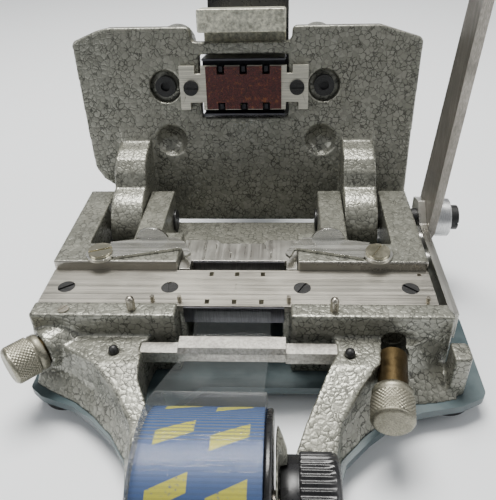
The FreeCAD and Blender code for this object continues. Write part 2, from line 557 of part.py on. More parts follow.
def make_press():
    plate = Piece("pressure_plate")
    notches = [rect(f"{x} - 1", "pressure_front", f"{x} + 1", "pressure_front + 2.6") for x in (-15.5, 15.5)]
    notches += [rect(f"{x} - 2.2", "pressure_back - 2.5", f"{x} + 2.2", "pressure_back") for x in (-16.2, 16.4)]
    punch_cuts = [rect(f"{n} * pitch - 1.25", "pressure_front", f"{n} * pitch + 1.25", "pressure_front + 2.7")
                  for n in (-1, 0, 1)]
    punch_cuts += [rect(f"{n} * pitch - 1.25", "pressure_back - 2.6", f"{n} * pitch + 1.25", "pressure_back")
                   for n in (-1, 0, 1)]
    plate.pad("XY", "pressure_low", "pressure_low + pressure_thick",
              rect("-pressure_half", "pressure_front", "pressure_half", "pressure_back"))
    plate.pocket("XY", "pressure_low", "pressure_low + pressure_thick", *notches, *punch_cuts,
                 disc("plate_screw_x", 0, 1.25), disc("-plate_screw_x", 0, 1.25))
    node("pressure_plate", plate, "head")
    pad = box("-cork_half", "cork_half", "-cork_deep", "cork_deep", "pressure_low - cork_thick", "pressure_low")
    cuts = [box(f"{n} * pitch - 1.25", f"{n} * pitch + 1.25", low, high, "pressure_low - 2", "pressure_low + 1")
            for n in (-1, 0, 1) for low, high in ((-7.5, -4.5), (4.8, 7.5))]
    node("cork_pad", cut(pad, *cuts), "head")
    screws = []
    for side in ("-", ""):
        x = f"{side}plate_screw_x"
        body = fuse(rod("Z", "track_screw_head", 0.9, x, 0, "pressure_low - 0.9"),
                    rod("Z", 1.25, "12", x, 0, "pressure_low"))
        slot = box(f"{x} - 3", f"{x} + 3", "-slot_wide / 2", "slot_wide / 2", "pressure_low - 1", "pressure_low - 0.45")
        screws.append(cut(body, slot))
    node("pressure_plate_screws", group(*screws), "head")

    block = box("-press_half", "press_half", "-block_half", "block_half", "block_low", "block_top_z")
    node("press_block", block, "head")
    lip = Piece("tape_clamp_lip")
    lip.pad("YZ", "-press_half", "press_half",
            poly(("lip_front", "lip_low"), ("lip_rear", "lip_low"), ("lip_rear", 16), ("-block_half - 0.7", 16),
                 ("-block_half - 0.7", 20), ("lip_front + 5", 20), ("lip_front", 11)))
    node("tape_clamp_lip", lip, "head")
    handle = Piece("press_handle")
    handle.pad("XY", "block_top_z", "block_top_z + handle_thick",
               rect("-handle_half", "handle_front", "handle_half", "handle_rear"))
    handle.soften(4, upright)
    node("press_handle", handle, "head")
    bolts = [cut(rod("Z", 2.8, 2.4, 0, y, "block_top_z + handle_thick"),
                 rod("Z", 1.3, 1.6, 0, y, "block_top_z + handle_thick + 1.2")) for y in (-4.5, 4.5)]
    node("handle_screws", group(*bolts), "head")

    half, depth = "hole_long / 2 - 0.05", "hole_wide / 2 - 0.05"
    punches = [box(f"{n} * pitch - ({half})", f"{n} * pitch + {half}", f"{side} * row_half - ({depth})",
                   f"{side} * row_half + {depth}", "pressure_low - 0.5", "block_low")
               for n in (-1, 0, 1) for side in (-1, 1)]
    node("punches", group(*punches), "head")
    for name, side in (("front", -1), ("rear", 1)):
        low = "-block_half - blade_thick" if side < 0 else "block_half"
        blade = box("-blade_half", "blade_half", low, f"{low} + blade_thick", "pressure_low + 0.2", 28)
        node(f"{name}_blade", blade, "head")
    blade_screws = []
    for x in (-9, 9):
        blade_screws.append(rod("Y", 1.6, 1, x, "block_half + blade_thick", 22))
    node("blade_screws", group(*blade_screws), "head")
    springs = [cut(rod("Z", 4, "block_top_z - 16", x, 17.2, 16), rod("Z", 3, "block_top_z - 16", x, 17.2, 16))
               for x in (-9, 9)]
    node("return_springs", group(*springs), "head")


# ---------------------------------------------------------------- hinge pins and film cutter
def make_hinge_pins():
    """Two short pins, one through each pair of bosses, with slotted heads on the inner bosses' faces."""
    pins = []
    for side, turn in ((-1, 50), (1, 80)):
        start = "1 - casting_right" if side < 0 else "boss_in - hinge_head_long"
        shaft = rod("X", "hinge_pin", "casting_right - 1 - boss_in + hinge_head_long", start, "hinge_y", "hinge_z")
        low = "-boss_in" if side < 0 else "boss_in - hinge_head_long"
        cap = rod("X", "hinge_head", "hinge_head_long", low, "hinge_y", "hinge_z")
        groove = doc.addObject("Part::Box", "Groove")
        bind(groove, Length=0.5, Width="2.4 * hinge_head", Height="slot_wide")
        turned = Rotation(Vector(1, 0, 0), turn)
        arm = Vector(0, -1.2 * size("hinge_head"), -0.5 * size("slot_wide"))
        face = side * (size("boss_in") - size("hinge_head_long"))
        centre = Vector(face - 0.25, size("hinge_y"), size("hinge_z"))
        groove.Placement = Placement(centre + turned.multVec(arm), turned)
        pins.append(cut(fuse(shaft, cap), groove))
    node("hinge_pins", group(*pins))


def make_cutter():
    bar = Piece("fixed_cutter_bar")
    bar.pad("YZ", "bar_in", "bar_out",
            poly(("cutter_front", "-cutter_deep"), ("cutter_front", 0), ("cutter_y - 6", 0), ("cutter_y", 5.4),
                 ("cutter_rear", 3), ("cutter_rear", "-cutter_deep")))
    bar.pocket("YZ", "bar_in", "bar_out", disc("cutter_y", "cutter_z", 3))
    node("fixed_cutter_bar", bar)
    spots = [(20, -5), (31, -5)]
    node("bar_spacers", group(*[rod("X", 3.2, "bar_in - casting_right", "casting_right", y, z) for y, z in spots]))
    node("pivot_bolt", cut(fuse(rod("X", 3, "bolt_out - casting_right", "casting_right", "cutter_y", "cutter_z"),
                                rod("X", 4.15, "bolt_out - sleeve_out", "sleeve_out", "cutter_y", "cutter_z")),
                           box("bolt_out - 1", "bolt_out + 1", "cutter_y - 5", "cutter_y + 5",
                               "cutter_z - slot_wide / 2", "cutter_z + slot_wide / 2")))
    lever_out = "cutter_in + cutter_thick"
    node("pivot_sleeve", cut(rod("X", "sleeve_radius", f"sleeve_out - 0.02 - ({lever_out}) - 0.3", f"{lever_out} + 0.3",
                                 "cutter_y", "cutter_z"),
                             rod("X", 3, "sleeve_out", "cutter_in", "cutter_y", "cutter_z")))

    lever = Piece("cutter_lever")
    lever.pad("YZ", "cutter_in", lever_out,
              poly(("cutter_y - cutter_root", "cutter_z"), ("cutter_y - 5.6", "cutter_z - 5.6"),
                   ("cutter_y + 5.6", "cutter_z - 5.6"), ("cutter_y + cutter_root", "cutter_z"),
                   ("cutter_y + cutter_root", "cutter_z + 5"),
                   ("cutter_y + cutter_tip", "cutter_z + cutter_long"),
                   ("cutter_y - cutter_tip", "cutter_z + cutter_long"), ("cutter_y - cutter_root", "cutter_z + 5")))
    lever.pocket("YZ", "cutter_in", lever_out, disc("cutter_y", "cutter_z", "3 + run_gap"))
    node("cutter_lever", lever, "lever")
    grip = box("cutter_in - grip_wrap + 0.1", f"{lever_out} + grip_wrap", "cutter_y - grip_half", "cutter_y + grip_half",
               "cutter_z + grip_start", "cutter_z + grip_start + grip_long")
    hollow = box("cutter_in", lever_out, "cutter_y - 5.3", "cutter_y + 5.3", "cutter_z + grip_start - 1",
                 "cutter_z + cutter_long")
    node("lever_grip", cut(grip, hollow), "lever")


# ---------------------------------------------------------------- plunger knobs, tape and spool
def make_knobs():
    for side in ("right", "left"):
        out = f"{side}_out"
        node(f"{side}_plunger", along(side, "shank_radius", f"{out} - 12", out))
        collar = along(side, "cap_radius - 0.3", out, f"{out} + 2")
        node(f"{side}_knob", fuse(collar, along(side, "cap_radius", f"{out} + 2", f"{out} + cap_long")))


def make_spool():
    centre = ("roll_y", "roll_z")
    long = "roll_right - roll_left"
    bore = rod("X", "core_bore", long, "roll_left", *centre)
    node("tape_core", cut(rod("X", "core_radius", long, "roll_left", *centre), bore))
    inside = rod("X", "core_radius", long, "roll_left", *centre)
    node("tape_winding", cut(rod("X", "roll_radius", long, "roll_left", *centre), inside))
    flange = rod("X", "flange_radius", 1.4, "roll_right", *centre)
    hub = fuse(rod("X", "core_bore", long, "roll_left", *centre), flange)
    node("spool_hub", cut(hub, rod("X", "hub_bore", 40, "roll_left - 1", *centre)))
    node("spool_axle", fuse(rod("X", "spool_pin", "ear_in - roll_left + 1.5", "roll_left - 1.5", *centre),
                            rod("X", 4, 1.2, "roll_left - 1.5", *centre)))
    ear = Piece("spool_bracket")
    ear.pad("YZ", "ear_in", "ear_out", disc("roll_y", "roll_z", "ear_radius"))
    ear.pad("YZ", "ear_in", "ear_out", rect("roll_y - 8", "casting_floor + 1", "roll_y + 12", "roll_z"))
    ear.pad("XY", "casting_floor - plate_thick", "casting_floor + 1", rect(-23, "roll_y - 8", 27, "arm_tip"))
    # The ear's outside is domed, hollowed for the knob's neck, and cut back in front of the axle.
    long_box = box("-ear_out - 40", "ear_out - ear_dome + 60", "roll_y - 40", "roll_y + 40", "casting_floor + 2", 60)
    ball = dome("ear_dome", "ear_in - ear_dome_in", *centre)
    neck = rod("X", "knob_neck + 0.4", 9, "ear_wall", *centre)
    front = box("ear_wall", "ear_out + 1", "roll_y - 30", "ear_cut", "casting_floor + 2", 60)
    node("spool_bracket", cut(ear.body, cut(long_box, ball), neck, front))
    bolt_end = "knob_in + bolt_deep"
    node("spool_bolt", rod("X", "spool_pin", f"{bolt_end} - ear_wall", "ear_wall", *centre))
    knob = fuse(rod("X", "knob_neck", "knob_in - neck_in", "neck_in", *centre),
                rod("X", "knob_radius", "knob_out - knob_in", "knob_in", *centre))
    socket = rod("X", "spool_pin + run_gap", f"{bolt_end} + 0.2 - ear_wall", "ear_wall", *centre)
    node("spool_knob", cut(knob, socket))


def make_strip():
    """The tape's free end: from the top of the roll, over the bar, to the front edge of the film track."""
    strip = Piece("tape_strip")
    under = [("strip_y", "strip_z"), ("bar_front + 1.5", "bar_top + 0.35"), ("bar_rear", "bar_top + 0.35"), (-9, -1.2)]
    over = [(y, f"{z} + strip_thick") for y, z in reversed(under)]
    strip.pad("YZ", "strip_left", "strip_right", poly(*under, *over))
    node("tape_strip", strip)


# ---------------------------------------------------------------- build, place, check and write
HOMES = {
    "base": lambda: Placement(),
    "head": lambda: Placement(Vector(), Rotation(Vector(1, 0, 0), -size("open_angle")),
                              Vector(0, size("hinge_y"), size("hinge_z"))),
    "lever": lambda: Placement(Vector(), Rotation(Vector(1, 0, 0), size("cutter_lean")),
                               Vector(0, size("cutter_y"), size("cutter_z"))),
}


def place_nodes():
    shift = Placement(Vector(-size("centre_x"), -size("centre_y"), size("stand_height")), Rotation())
    for thing, home in nodes:
        if not hasattr(thing, "rest_place"):
            thing.addProperty("App::PropertyPlacement", "rest_place")
            thing.rest_place = thing.Placement
        thing.Placement = shift.multiply(HOMES[home]()).multiply(thing.rest_place)
    doc.recompute()


def whole_box():
    total = FreeCAD.BoundBox()
    for thing, home in nodes:
        total.add(thing.Shape.optimalBoundingBox())
    return total


make_frame()
make_track()
make_tape_plate()
make_side_levers()
make_hinge_pins()
make_head()
make_press()
make_cutter()
make_knobs()
make_spool()
make_strip()
doc.recompute()
place_nodes()
found = whole_box()
for cell, value in (("centre_x", found.Center.x), ("centre_y", found.Center.y)):
    sheet.set(sheet.getCellFromAlias(cell), f"{value:.4f}")
doc.recompute()
place_nodes()

for thing in doc.Objects:
    if "Invalid" in thing.State or "Error" in thing.State:
        raise RuntimeError(f"{thing.Label} failed: {thing.State}")
    if thing.TypeId == "Part::MultiFuse":
        # A failed union can drop a piece without an error, and its box then comes out too small.
        wanted = FreeCAD.BoundBox()
        for member in thing.Shapes:
            wanted.add(member.Shape.optimalBoundingBox())
        joined = thing.Shape.optimalBoundingBox()
        if thing.Placement.isIdentity() and abs(joined.DiagonalLength - wanted.DiagonalLength) > 0.05:
            raise RuntimeError(f"{thing.Label}: the union lost a piece")
os.makedirs("parts", exist_ok=True)
for thing, home in nodes:
    if thing.Shape.isNull() or not thing.Shape.isValid():
        raise RuntimeError(f"{thing.Label} has no valid shape")
    thing.Shape.exportStep(os.path.join("parts", thing.Label + ".step"))
final = whole_box()
print(f"{len(nodes)} nodes; box {final.XLength:.1f} x {final.YLength:.1f} x {final.ZLength:.1f}; lowest {final.ZMin:.3f}")
print("working-frame origin lies at", -size("centre_x"), -size("centre_y"), size("stand_height"))
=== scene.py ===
# %% [markdown]
# # A guillotine tape splicer for narrow film
#
# The machine is two die castings in hammered enamel, joined by a hinge. The lower one carries a steel track in which
# the film lies on small pins. The upper one, standing open, carries a ram with blades and punches. A roll of clear
# tape sits in front, a film cutter stands on the right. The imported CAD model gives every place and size, so this
# script begins by loading it and reading where the film track is: everything else is measured from there.

# %% Load the fixed frame
import json
import math

import bmesh
import bpy
from mathutils import Matrix, Vector


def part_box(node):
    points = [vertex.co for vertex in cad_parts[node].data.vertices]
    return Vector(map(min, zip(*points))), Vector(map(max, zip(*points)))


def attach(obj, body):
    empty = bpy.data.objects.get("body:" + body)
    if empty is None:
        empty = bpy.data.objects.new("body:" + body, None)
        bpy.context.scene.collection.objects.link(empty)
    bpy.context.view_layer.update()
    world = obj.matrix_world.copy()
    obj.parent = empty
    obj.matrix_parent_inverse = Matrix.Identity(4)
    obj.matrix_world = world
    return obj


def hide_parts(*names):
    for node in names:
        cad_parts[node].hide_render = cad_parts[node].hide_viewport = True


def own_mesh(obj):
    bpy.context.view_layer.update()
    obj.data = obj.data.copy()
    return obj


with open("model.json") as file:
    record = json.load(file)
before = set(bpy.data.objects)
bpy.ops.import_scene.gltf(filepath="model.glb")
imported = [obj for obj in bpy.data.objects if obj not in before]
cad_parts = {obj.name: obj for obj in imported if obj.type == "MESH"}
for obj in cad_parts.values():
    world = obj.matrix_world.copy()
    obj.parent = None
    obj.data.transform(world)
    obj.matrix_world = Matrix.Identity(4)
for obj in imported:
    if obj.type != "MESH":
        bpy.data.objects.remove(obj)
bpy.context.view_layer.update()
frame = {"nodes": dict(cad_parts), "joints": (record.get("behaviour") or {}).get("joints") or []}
nodes = frame["nodes"]
MM = 0.001

DIE_FROM_TRACK_END = 55.5 * MM
track_low, track_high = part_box("film_track")
datum = Vector((track_low.x + DIE_FROM_TRACK_END, (track_low.y + track_high.y) / 2, track_high.z))
joint = {j["name"]: j for j in frame["joints"]}
hinge = Vector(joint["head_hinge"]["pos_m"])
open_angle = math.radians(joint["head_hinge"]["range_deg"][1])
print("track datum", tuple(round(v, 4) for v in datum), "head opens", round(math.degrees(open_angle)), "degrees")


def spot(x, y, z):
    """A point given in millimetres from the datum, in metres of the frame."""
    return datum + Vector((x, y, z)) * MM


head_swing = Matrix.Translation(hinge) @ Matrix.Rotation(-open_angle, 4, "X") @ Matrix.Translation(-hinge)


def head_spot(x, y, z):
    """The same, for a point on the closed head, carried to where the open head has it."""
    return head_swing @ spot(x, y, z)


# %% [markdown]
# ## Camera, floor and light
#
# The view is from above the roll, looking down at about 36 degrees with a normal lens. One large soft light hangs
# overhead and a little behind, so upward edges catch it and shadows fall towards the viewer, and two weaker panels
# fill from the left and the right. The camera is built from its three angles, in the order a tripod head has them.

# %% Camera
LENS = 40.3
SHIFT_ACROSS, SHIFT_UP = -0.028, -0.0014
STAND_POINT = (14.28, -123.37, 103.28)
PITCH, YAW, ROLL = math.radians(35.97), math.radians(2.97), math.radians(-1.58)
forward = Vector((-math.sin(YAW) * math.cos(PITCH), math.cos(YAW) * math.cos(PITCH), -math.sin(PITCH)))
level_right = Vector((math.cos(YAW), math.sin(YAW), 0))
level_up = level_right.cross(forward)
right = level_right * math.cos(ROLL) + level_up * math.sin(ROLL)
up = level_up * math.cos(ROLL) - level_right * math.sin(ROLL)

camera = bpy.data.objects.new("camera", bpy.data.cameras.new("camera"))
bpy.context.scene.collection.objects.link(camera)
camera.data.lens = LENS
camera.data.shift_x = SHIFT_ACROSS
camera.data.shift_y = SHIFT_UP
turn = Matrix((right, up, -forward)).transposed().to_4x4()
camera.matrix_world = Matrix.Translation(spot(*STAND_POINT)) @ turn
camera.data.clip_start = 0.005
bpy.context.scene.camera = camera
print("camera", tuple(round(v, 3) for v in camera.location))


# %% Floor, sky and soft lights
def area_light(name, place, aim, width, depth, power, tint=(1, 1, 1)):
    light = bpy.data.objects.new(name, bpy.data.lights.new(name, "AREA"))
    light.data.shape = "RECTANGLE"
    light.data.size, light.data.size_y = width, depth
    light.data.energy = power
    light.data.color = tint
    light.location = place
    light.rotation_euler = (Vector(aim) - Vector(place)).to_track_quat("-Z", "Y").to_euler()
    bpy.context.scene.collection.objects.link(light)
    return light


bpy.ops.mesh.primitive_plane_add(size=6)
floor = bpy.context.object
floor.name = "floor"
centre = spot(0, 20, 10)
area_light("overhead", centre + Vector((-0.06, 0.16, 0.66)), centre, 0.42, 0.30, 10.0, (1, 0.985, 0.95))
area_light("left_fill", centre + Vector((-0.60, -0.30, 0.40)), centre, 0.4, 0.4, 1.2)
area_light("right_fill", centre + Vector((0.6, -0.1, 0.4)), centre, 0.4, 0.4, 1.2)
world = bpy.data.worlds.new("room")
bpy.context.scene.world = world
world.use_nodes = True
world.node_tree.nodes["Background"].inputs["Color"].default_value = (0.93, 0.96, 1.0, 1)
world.node_tree.nodes["Background"].inputs["Strength"].default_value = 0.30


# %% [markdown]
# ## Shared surface effects
#
# Three effects turn up in many finishes: the pebbled skin of hammered enamel, the fine lines that a belt or a brush
# leaves on steel, and the smudges of handling. Each is a node group built once, and every material sets its own
# size and strength. The groups give out only numbers, which the materials use for colour, roughness and height.

# %% Helpers for building materials
def new_group(name, inputs, outputs):
    tree = bpy.data.node_groups.new(name, "ShaderNodeTree")
    for label, value in inputs.items():
        socket = tree.interface.new_socket(name=label, in_out="INPUT", socket_type="NodeSocketFloat")
        socket.default_value = value
    for label in outputs:
        tree.interface.new_socket(name=label, in_out="OUTPUT", socket_type="NodeSocketFloat")
    return tree


class Net:
    """A node tree with short ways to add nodes, set their sockets and wire them."""

    def __init__(self, tree):
        self.tree = tree

    def add(self, kind, settings=None, **sockets):
        node = self.tree.nodes.new(kind)
        for name, value in (settings or {}).items():
            setattr(node, name, value)
        for name, value in sockets.items():
            self.feed(node, name.replace("_", " "), value)
        return node

    def feed(self, node, name, value):
        found = [s for s in node.inputs if s.name == name and s.enabled]
        socket = found[0]
        if isinstance(value, bpy.types.NodeSocket):
            self.tree.links.new(value, socket)
        else:
            socket.default_value = value

    def math(self, operation, a, b=0.0, c=0.0):
        node = self.add("ShaderNodeMath", {"operation": operation})
        for socket, value in zip(node.inputs, (a, b, c)):
            if isinstance(value, bpy.types.NodeSocket):
                self.tree.links.new(value, socket)
            else:
                socket.default_value = value
        return node.outputs[0]

    def step(self, value, low, high, to_low=0.0, to_high=1.0):
        """Rescale a value from low..high to another range, held at its ends."""
        node = self.add("ShaderNodeMapRange", {"interpolation_type": "SMOOTHSTEP"}, Value=value)
        for name, number in zip(("From Min", "From Max", "To Min", "To Max"), (low, high, to_low, to_high)):
            node.inputs[name].default_value = number
        return node.outputs[0]

    def mix(self, factor, a, b):
        node = self.add("ShaderNodeMix", {"data_type": "RGBA"})
        self.feed(node, "Factor", factor)
        for socket, value in ((node.inputs[6], a), (node.inputs[7], b)):
            if isinstance(value, bpy.types.NodeSocket):
                self.tree.links.new(value, socket)
            else:
                socket.default_value = (*value[:3], 1)
        return node.outputs[2]

    def place(self, stretch=(1, 1, 1)):
        """Object coordinates in millimetres, stretched along the axes."""
        where = self.add("ShaderNodeTexCoord").outputs["Object"]
        scale = [1000 * s for s in stretch]
        return self.add("ShaderNodeMapping", Vector=where, Scale=scale).outputs[0]


def noise_value(net, place, scale, detail=3.0, rough=0.5, warp=0.0):
    return net.add("ShaderNodeTexNoise", Vector=place, Scale=scale, Detail=detail, Roughness=rough,
                   Distortion=warp).outputs[0]


# %% Hammered enamel: round cells with darker seams between them
def build_hammer_group():
    tree = new_group("hammered_skin", {"Cells per mm": 0.75, "Warp": 0.35}, ["Seam", "Tone", "Height"])
    net = Net(tree)
    inside = net.add("NodeGroupInput")
    place = net.place()
    wander = net.add("ShaderNodeTexNoise", Vector=place, Scale=0.9, Detail=2.0)
    shift = net.add("ShaderNodeVectorMath", {"operation": "SUBTRACT"})
    tree.links.new(wander.outputs[1], shift.inputs[0])
    shift.inputs[1].default_value = (0.5, 0.5, 0.5)
    scaled = net.add("ShaderNodeVectorMath", {"operation": "SCALE"})
    tree.links.new(shift.outputs[0], scaled.inputs[0])
    tree.links.new(net.math("MULTIPLY", inside.outputs["Warp"], 4.0), scaled.inputs["Scale"])
    warped = net.add("ShaderNodeVectorMath", {"operation": "ADD"})
    tree.links.new(place, warped.inputs[0])
    tree.links.new(scaled.outputs[0], warped.inputs[1])
    cells = inside.outputs["Cells per mm"]
    edge = net.add("ShaderNodeTexVoronoi", {"feature": "DISTANCE_TO_EDGE"}, Vector=warped.outputs[0], Scale=cells)
    body = net.add("ShaderNodeTexVoronoi", {"feature": "F1"}, Vector=warped.outputs[0], Scale=cells)
    seam_line = net.step(edge.outputs["Distance"], 0.0, 0.13, 1.0, 0.0)
    broken = net.step(noise_value(net, place, 0.35, 2.0), 0.36, 0.56)
    fleck = noise_value(net, place, 6.0, 2.0)
    out = net.add("NodeGroupOutput")
    net.feed(out, "Seam", net.math("MULTIPLY", seam_line, net.math("MULTIPLY_ADD", broken, 0.8, 0.2)))
    hue = net.add("ShaderNodeSeparateColor", Color=body.outputs["Color"]).outputs[0]
    net.feed(out, "Tone", net.math("ADD", net.math("MULTIPLY", hue, 0.6), net.math("MULTIPLY", fleck, 0.4)))
    dome = net.step(edge.outputs["Distance"], 0.0, 0.38)
    net.feed(out, "Height", net.math("ADD", dome, net.math("MULTIPLY", hue, 0.35)))
    return tree


hammered_skin = build_hammer_group()


# %% Brushed lines and handling marks
def build_lines_group():
    tree = new_group("brushed_lines", {"Along X": 0.02, "Along Y": 3.0, "Along Z": 3.0}, ["Lines", "Bands"])
    net = Net(tree)
    inside = net.add("NodeGroupInput")
    stretch = net.add("ShaderNodeCombineXYZ")
    for number, name in enumerate(("Along X", "Along Y", "Along Z")):
        tree.links.new(inside.outputs[name], stretch.inputs[number])
    place = net.add("ShaderNodeVectorMath", {"operation": "MULTIPLY"})
    tree.links.new(net.place(), place.inputs[0])
    tree.links.new(stretch.outputs[0], place.inputs[1])
    out = net.add("NodeGroupOutput")
    net.feed(out, "Lines", noise_value(net, place.outputs[0], 2.2, 5.0, 0.7))
    net.feed(out, "Bands", noise_value(net, place.outputs[0], 0.35, 2.0, 0.5))
    return tree


def build_marks_group():
    tree = new_group("handling_marks", {"Size": 0.12}, ["Smudge", "Speck"])
    net = Net(tree)
    inside = net.add("NodeGroupInput")
    place = net.place()
    cloud = net.add("ShaderNodeTexNoise", Vector=place, Scale=inside.outputs["Size"], Detail=4.0, Roughness=0.6)
    out = net.add("NodeGroupOutput")
    net.feed(out, "Smudge", net.step(cloud.outputs[0], 0.35, 0.68))
    net.feed(out, "Speck", net.step(noise_value(net, place, 4.5, 2.0), 0.66, 0.74))
    return tree


brushed_lines = build_lines_group()
handling_marks = build_marks_group()
print("groups", [g.name for g in bpy.data.node_groups])


# %% Material builder
def finish_material(name, color, roughness, metallic=0.0, **constants):
    """A material whose Principled shader holds its constants; returns it with its net and shader."""
    material = bpy.data.materials.new(name)
    material.use_nodes = True
    net = Net(material.node_tree)
    shader = material.node_tree.nodes["Principled BSDF"]
    shader.inputs["Base Color"].default_value = (*color, 1)
    shader.inputs["Roughness"].default_value = roughness
    shader.inputs["Metallic"].default_value = metallic
    for label, value in constants.items():
        shader.inputs[label.replace("_", " ")].default_value = value
    return material, net, shader


def use_group(net, tree, **values):
    node = net.add("ShaderNodeGroup", {"node_tree": tree})
    for label, value in values.items():
        node.inputs[label.replace("_", " ")].default_value = value
    return node.outputs


def bump(net, shader, height, distance, strength=1.0):
    node = net.add("ShaderNodeBump", Height=height, Distance=distance, Strength=strength)
    net.feed(shader, "Normal", node.outputs[0])


def brushed(name, color, roughness, stretch, contrast=0.16, depth=0.01, metallic=1.0, smudge=0.12):
    """Steel or alloy with fine lines along one axis; stretch is how tightly the lines pack along X, Y and Z."""
    material, net, shader = finish_material(name, color, roughness, metallic)
    lines = use_group(net, brushed_lines, Along_X=stretch[0], Along_Y=stretch[1], Along_Z=stretch[2])
    marks = use_group(net, handling_marks, Size=0.09)
    light = [min(1, c * (1 + 1.6 * contrast)) for c in color]
    dark = [c * (1 - 1.6 * contrast) for c in color]
    tone = net.mix(net.step(lines["Lines"], 0.3, 0.7), dark, light)
    grubby = [c * 0.55 for c in color]
    net.feed(shader, "Base Color", net.mix(net.math("MULTIPLY", marks["Smudge"], smudge), tone, grubby))
    rough = net.math("ADD", net.step(lines["Bands"], 0.3, 0.7, roughness * 0.85, roughness * 1.15),
                     net.math("MULTIPLY", marks["Smudge"], smudge * 0.6))
    net.feed(shader, "Roughness", rough)
    bump(net, shader, lines["Lines"], depth * MM)
    return material


# %% [markdown]
# ## Finishes
#
# Hammered enamel is the face of this machine: a grey-green metallic paint that draws itself into cells one to two
# millimetres across, glossy on top with darker seams. It could be an image, but a cell pattern worked out in space
# needs no unwrapping and runs round every edge. Each finish is made once and given to the nodes that have it.

# %% Enamels
def make_hammertone():
    material, net, shader = finish_material("hammertone", (0.2, 0.2, 0.17), 0.34, 0.55,
                                            Coat_Weight=0.25, Coat_Roughness=0.2)
    skin = use_group(net, hammered_skin, Cells_per_mm=0.62, Warp=0.3)
    marks = use_group(net, handling_marks, Size=0.05)
    pale = net.mix(skin["Tone"], (0.17, 0.17, 0.14), (0.34, 0.34, 0.29))
    worn = net.mix(net.math("MULTIPLY", marks["Smudge"], 0.2), pale, (0.14, 0.13, 0.105))
    enamel = net.mix(net.math("MULTIPLY", skin["Seam"], 0.85), worn, (0.03, 0.03, 0.024))
    gloss = net.math("ADD", net.math("MULTIPLY", skin["Seam"], 0.25), net.step(marks["Smudge"], 0, 1, 0.27, 0.4))
    # The rear block's front wall, beside the track, is milled bare after painting.
    spot_xyz = net.add("ShaderNodeSeparateXYZ")
    material.node_tree.links.new(net.add("ShaderNodeTexCoord").outputs["Object"], spot_xyz.inputs[0])
    close = net.math("COMPARE", spot_xyz.outputs[1], track_high.y, 0.35 * MM)
    above = net.math("GREATER_THAN", spot_xyz.outputs[2], track_high.z - 2.2 * MM)
    milled = net.math("MULTIPLY", close, above)
    lines = use_group(net, brushed_lines, Along_X=0.03, Along_Y=3.0, Along_Z=3.0)
    steel = net.mix(lines["Lines"], (0.30, 0.285, 0.25), (0.46, 0.44, 0.40))
    net.feed(shader, "Base Color", net.mix(milled, enamel, steel))
    net.feed(shader, "Roughness", gloss)
    net.feed(shader, "Metallic", net.math("ADD", net.math("MULTIPLY", milled, 0.45), 0.55))
    bump(net, shader, net.math("MULTIPLY", skin["Height"], net.math("SUBTRACT", 1.0, milled)), 0.055 * MM)
    return material


def make_plate_enamel():
    material, net, shader = finish_material("plate_enamel", (0.07, 0.105, 0.12), 0.4, 0.0)
    marks = use_group(net, handling_marks, Size=0.08)
    net.feed(shader, "Base Color", net.mix(marks["Smudge"], (0.05, 0.075, 0.082), (0.085, 0.115, 0.122)))
    net.feed(shader, "Roughness", net.step(marks["Smudge"], 0, 1, 0.3, 0.5))
    bump(net, shader, marks["Speck"], 0.01 * MM)
    return material


hammertone = make_hammertone()
plate_enamel = make_plate_enamel()


# %% [markdown]
# ### Metals
#
# Most of the small parts are bare metal, and they differ in colour, in gloss and in which way they were brushed. One
# recipe covers them all. The three numbers after the roughness say how tightly the lines pack along X, Y and Z, so a
# small number is the direction the belt ran in.

# %% Metals
track_steel = brushed("track_steel", (0.44, 0.42, 0.37), 0.34, (0.02, 3.0, 3.0), contrast=0.2)
shelf_steel = brushed("shelf_steel", (0.50, 0.49, 0.45), 0.3, (2.5, 0.05, 2.5), contrast=0.04, depth=0.004)
lever_steel = brushed("lever_steel", (0.30, 0.28, 0.25), 0.42, (2.5, 2.5, 0.03), contrast=0.2, smudge=0.3)
polished_steel = brushed("polished_steel", (0.78, 0.77, 0.72), 0.24, (0.05, 2.5, 2.5), contrast=0.03, depth=0.003,
                         smudge=0.05)
screw_nickel = brushed("screw_nickel", (0.66, 0.62, 0.48), 0.2, (1.0, 1.0, 1.0), contrast=0.04, depth=0.003)
ground_steel = brushed("ground_steel", (0.62, 0.60, 0.51), 0.36, (0.03, 4.0, 4.0), contrast=0.25)
cast_bare = brushed("cast_bare", (0.42, 0.405, 0.37), 0.4, (0.6, 0.6, 0.6), contrast=0.2, depth=0.03)
# The lip's brushed speckle is its own, but its pale yellowish colour is painted light: the lip is drawn lighter and
# yellower than its finish, as the light falls on it.
lip_painted_light = brushed("lip_painted_light", (0.58, 0.57, 0.47), 0.45, (0.35, 0.35, 0.35), contrast=0.28, depth=0.02)
blade_steel = brushed("blade_steel", (0.10, 0.10, 0.11), 0.32, (2.0, 2.0, 0.1))
spring_wire = brushed("spring_wire", (0.4, 0.4, 0.39), 0.3, (2.0, 2.0, 2.0))
blued_steel = brushed("blued_steel", (0.03, 0.03, 0.034), 0.45, (2.0, 2.0, 2.0), metallic=0.7)
pin_steel = brushed("pin_steel", (0.42, 0.39, 0.33), 0.28, (2.0, 2.0, 2.0))
dull_brass = brushed("dull_brass", (0.085, 0.06, 0.028), 0.33, (2.0, 2.0, 2.0), smudge=0.5)
nickel = brushed("nickel", (0.30, 0.285, 0.225), 0.33, (1.2, 1.2, 1.2), contrast=0.25, smudge=0.45)
turned_alloy = brushed("turned_alloy", (0.62, 0.62, 0.62), 0.3, (3.0, 0.4, 0.4))
black_screw = brushed("black_screw", (0.035, 0.035, 0.035), 0.4, (1.5, 1.5, 1.5), metallic=0.6, contrast=0.3)


# %% [markdown]
# ### Plastic, rubber, pad and tape
#
# Moulded plastic and rubber are one colour with faint smears. The pad is made of bonded grains, so it is drawn as
# small cells in several reds. Clear film is a gloss coat with very little body: its alpha is low face on and higher
# at a glance, which costs less light than real refraction in a film this thin.

